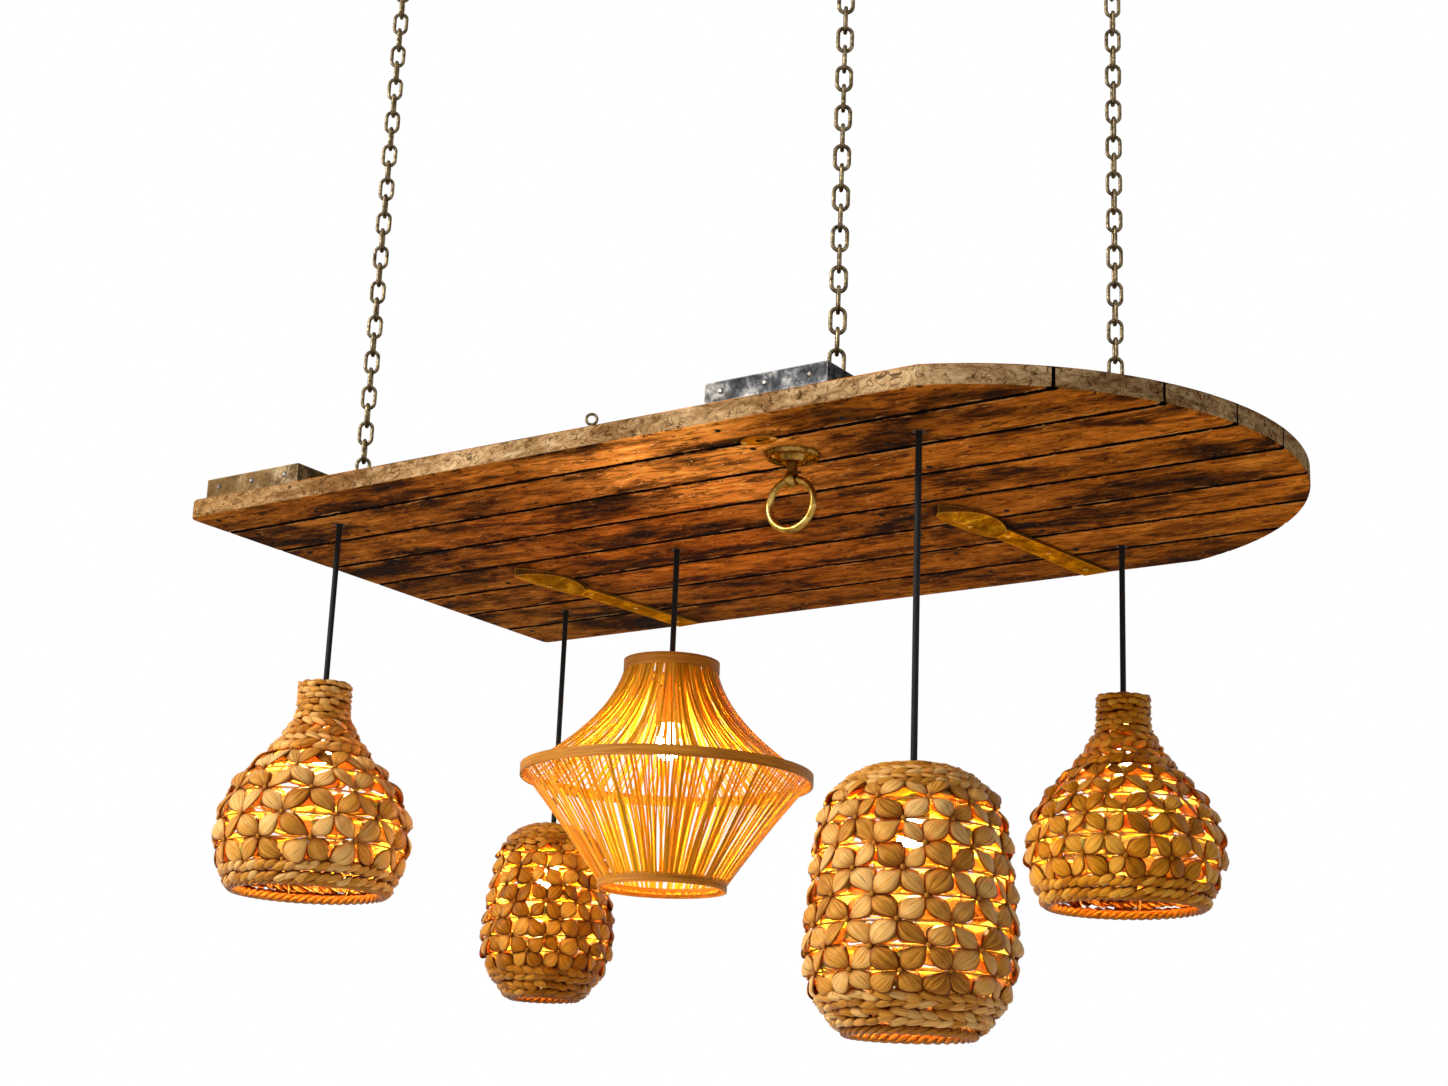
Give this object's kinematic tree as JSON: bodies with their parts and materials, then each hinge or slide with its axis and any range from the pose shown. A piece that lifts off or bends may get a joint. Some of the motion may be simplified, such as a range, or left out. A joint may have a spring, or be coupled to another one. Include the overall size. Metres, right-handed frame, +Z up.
{
  "type": "pendant chandelier",
  "caption": "Chandelier made from an arched plank door hung flat on chains, with corded pendants in woven and bamboo shades below it.",
  "frame": {"origin": "on the ceiling, straight above the centre of the door", "axes": "+X along the door towards its arched end, +Y across it, +Z up"},
  "size_m": [1.8, 1.052, 2.1337],
  "materials": {
    "door_wood": "weathered reddish-brown planks, tan at the worn edges",
    "ledge_wood": "plain sawn wood",
    "worn_steel": "worn blue-grey sheet steel with brown patina",
    "screw_steel": "dull steel",
    "nail_iron": "dark cut nails",
    "antique_brass": "antique bronzed brass",
    "old_brass": "aged brass, polished at the edges",
    "black_plastic": "matt black",
    "tan_plastic": "matt tan",
    "grey_plastic": "matt grey",
    "white_plastic": "matt white",
    "black_cord": "smooth black cord",
    "bulb_glass": "warm white lit glass",
    "woven_fibre": "natural straw-coloured plaited water plant leaf",
    "bamboo": "natural split bamboo"
  },
  "bodies": {
    "ceiling": {"ceiling_hooks": "antique_brass"},
    "top_link_1": {"top_link_1": "antique_brass"},
    "chain_1": {"chain_1": "antique_brass"},
    "low_link_1": {"low_link_1": "antique_brass"},
    "top_link_2": {"top_link_2": "antique_brass"},
    "chain_2": {"chain_2": "antique_brass"},
    "low_link_2": {"low_link_2": "antique_brass"},
    "top_link_3": {"top_link_3": "antique_brass"},
    "chain_3": {"chain_3": "antique_brass"},
    "low_link_3": {"low_link_3": "antique_brass"},
    "door": {"plank_1": "door_wood", "plank_2": "door_wood", "plank_3": "door_wood", "plank_4": "door_wood", "plank_5": "door_wood", "plank_6": "door_wood", "plank_7": "door_wood", "plank_8": "door_wood", "ledge_left": "ledge_wood", "ledge_right": "ledge_wood", "ledge_cover_left": "worn_steel", "ledge_cover_right": "worn_steel", "cover_screws": "screw_steel", "plank_nails": "nail_iron", "eye_screws": "antique_brass", "strap_hinge_left": "old_brass", "strap_hinge_right": "old_brass", "brass_screws": "old_brass", "keyhole_plate": "old_brass", "pull_rosette": "old_brass", "junction_box": "grey_plastic", "junction_lid": "grey_plastic", "terminal_block": "white_plastic", "fixed_cords": "black_cord", "cord_grips": "black_plastic"},
    "pull_neck": {"pull_neck": "old_brass"},
    "pull_ring": {"pull_ring": "old_brass"},
    "left_bell_cord": {"left_bell_cord": "black_cord"},
    "left_bell_pendant": {"left_bell_holder": "black_plastic", "left_bell_bulb": "bulb_glass", "left_bell_shade": "woven_fibre"},
    "far_barrel_cord": {"far_barrel_cord": "black_cord"},
    "far_barrel_pendant": {"far_barrel_holder": "black_plastic", "far_barrel_bulb": "bulb_glass", "far_barrel_shade": "woven_fibre"},
    "bamboo_cord": {"bamboo_cord": "black_cord"},
    "bamboo_pendant": {"bamboo_holder": "tan_plastic", "bamboo_bulb": "bulb_glass", "bamboo_hoops": "bamboo", "bamboo_upper_slats": "bamboo", "bamboo_lower_slats": "bamboo", "bamboo_spider": "screw_steel"},
    "near_barrel_cord": {"near_barrel_cord": "black_cord"},
    "near_barrel_pendant": {"near_barrel_holder": "black_plastic", "near_barrel_bulb": "bulb_glass", "near_barrel_shade": "woven_fibre"},
    "right_bell_cord": {"right_bell_cord": "black_cord"},
    "right_bell_pendant": {"right_bell_holder": "black_plastic", "right_bell_bulb": "bulb_glass", "right_bell_shade": "woven_fibre"}
  },
  "joints": [
    {"name": "sway_along_1", "type": "hinge", "parent": "ceiling", "child": "top_link_1", "pos_m": [-0.758, -0.23, -0.047], "axis": [-0.5592, 0.829, 0], "range_deg": [-6, 6]},
    {"name": "sway_across_1", "type": "hinge", "parent": "top_link_1", "child": "chain_1", "pos_m": [-0.758, -0.23, -0.08095], "axis": [0.829, 0.5592, 0], "range_deg": [-6, 6]},
    {"name": "level_across_1", "type": "hinge", "parent": "chain_1", "child": "low_link_1", "pos_m": [-0.758, -0.23, -1.12195], "axis": [0.829, 0.5592, 0], "range_deg": [-6, 6]},
    {"name": "sway_along_2", "type": "hinge", "parent": "ceiling", "child": "top_link_2", "pos_m": [0.291, -0.3, -0.047], "axis": [-0.5592, 0.829, 0], "range_deg": [-6, 6]},
    {"name": "sway_across_2", "type": "hinge", "parent": "top_link_2", "child": "chain_2", "pos_m": [0.291, -0.3, -0.08095], "axis": [0.829, 0.5592, 0], "range_deg": [-6, 6]},
    {"name": "level_across_2", "type": "hinge", "parent": "chain_2", "child": "low_link_2", "pos_m": [0.291, -0.3, -1.12195], "axis": [0.829, 0.5592, 0], "range_deg": [-6, 6]},
    {"name": "sway_along_3", "type": "hinge", "parent": "ceiling", "child": "top_link_3", "pos_m": [0.5, 0.27, -0.047], "axis": [-0.5592, 0.829, 0], "range_deg": [-6, 6]},
    {"name": "sway_across_3", "type": "hinge", "parent": "top_link_3", "child": "chain_3", "pos_m": [0.5, 0.27, -0.08095], "axis": [0.829, 0.5592, 0], "range_deg": [-6, 6]},
    {"name": "level_across_3", "type": "hinge", "parent": "chain_3", "child": "low_link_3", "pos_m": [0.5, 0.27, -1.12195], "axis": [0.829, 0.5592, 0], "range_deg": [-6, 6]},
    {"name": "level_along", "type": "hinge", "parent": "low_link_1", "child": "door", "pos_m": [-0.758, -0.23, -1.15665], "axis": [-0.5592, 0.829, 0], "range_deg": [-6, 6]},
    {"name": "left_bell_cord_swing", "type": "hinge", "parent": "door", "child": "left_bell_cord", "pos_m": [-0.681, -0.356, -1.2417], "axis": [1, 0, 0], "range_deg": [-6, 6]},
    {"name": "left_bell_shade_tilt", "type": "hinge", "parent": "left_bell_cord", "child": "left_bell_pendant", "pos_m": [-0.681, -0.356, -1.5327], "axis": [0, 1, 0], "range_deg": [-6, 6]},
    {"name": "far_barrel_cord_swing", "type": "hinge", "parent": "door", "child": "far_barrel_cord", "pos_m": [-0.691, 0.303, -1.2417], "axis": [1, 0, 0], "range_deg": [-6, 6]},
    {"name": "far_barrel_shade_tilt", "type": "hinge", "parent": "far_barrel_cord", "child": "far_barrel_pendant", "pos_m": [-0.691, 0.303, -1.6757], "axis": [0, 1, 0], "range_deg": [-6, 6]},
    {"name": "bamboo_cord_swing", "type": "hinge", "parent": "door", "child": "bamboo_cord", "pos_m": [-0.239, 0.038, -1.2417], "axis": [1, 0, 0], "range_deg": [-6, 6]},
    {"name": "bamboo_shade_tilt", "type": "hinge", "parent": "bamboo_cord", "child": "bamboo_pendant", "pos_m": [-0.239, 0.038, -1.4877], "axis": [0, 1, 0], "range_deg": [-6, 6]},
    {"name": "near_barrel_cord_swing", "type": "hinge", "parent": "door", "child": "near_barrel_cord", "pos_m": [0.456, -0.33, -1.2417], "axis": [1, 0, 0], "range_deg": [-6, 6]},
    {"name": "near_barrel_shade_tilt", "type": "hinge", "parent": "near_barrel_cord", "child": "near_barrel_pendant", "pos_m": [0.456, -0.33, -1.7517], "axis": [0, 1, 0], "range_deg": [-6, 6]},
    {"name": "right_bell_cord_swing", "type": "hinge", "parent": "door", "child": "right_bell_cord", "pos_m": [0.466, 0.364, -1.2417], "axis": [1, 0, 0], "range_deg": [-6, 6]},
    {"name": "right_bell_shade_tilt", "type": "hinge", "parent": "right_bell_cord", "child": "right_bell_pendant", "pos_m": [0.466, 0.364, -1.5117], "axis": [0, 1, 0], "range_deg": [-6, 6]},
    {"name": "pull_swivel", "type": "hinge", "parent": "door", "child": "pull_neck", "pos_m": [0.232, -0.326, -1.2497], "axis": [0, 0, 1], "range_deg": [-60, 60]},
    {"name": "pull_ring_swing", "type": "hinge", "parent": "pull_neck", "child": "pull_ring", "pos_m": [0.232, -0.326, -1.2897], "axis": [1, 0, 0], "range_deg": [-55, 55]}
  ],
  "couplings": [
    {"joint": "level_across_1", "follows": "sway_across_1", "ratio": -1},
    {"joint": "level_across_2", "follows": "sway_across_1", "ratio": -1},
    {"joint": "sway_along_2", "follows": "sway_along_1", "ratio": 1},
    {"joint": "sway_across_2", "follows": "sway_across_1", "ratio": 1},
    {"joint": "level_across_3", "follows": "sway_across_1", "ratio": -1},
    {"joint": "sway_along_3", "follows": "sway_along_1", "ratio": 1},
    {"joint": "sway_across_3", "follows": "sway_across_1", "ratio": 1},
    {"joint": "level_along", "follows": "sway_along_1", "ratio": -1}
  ]
}
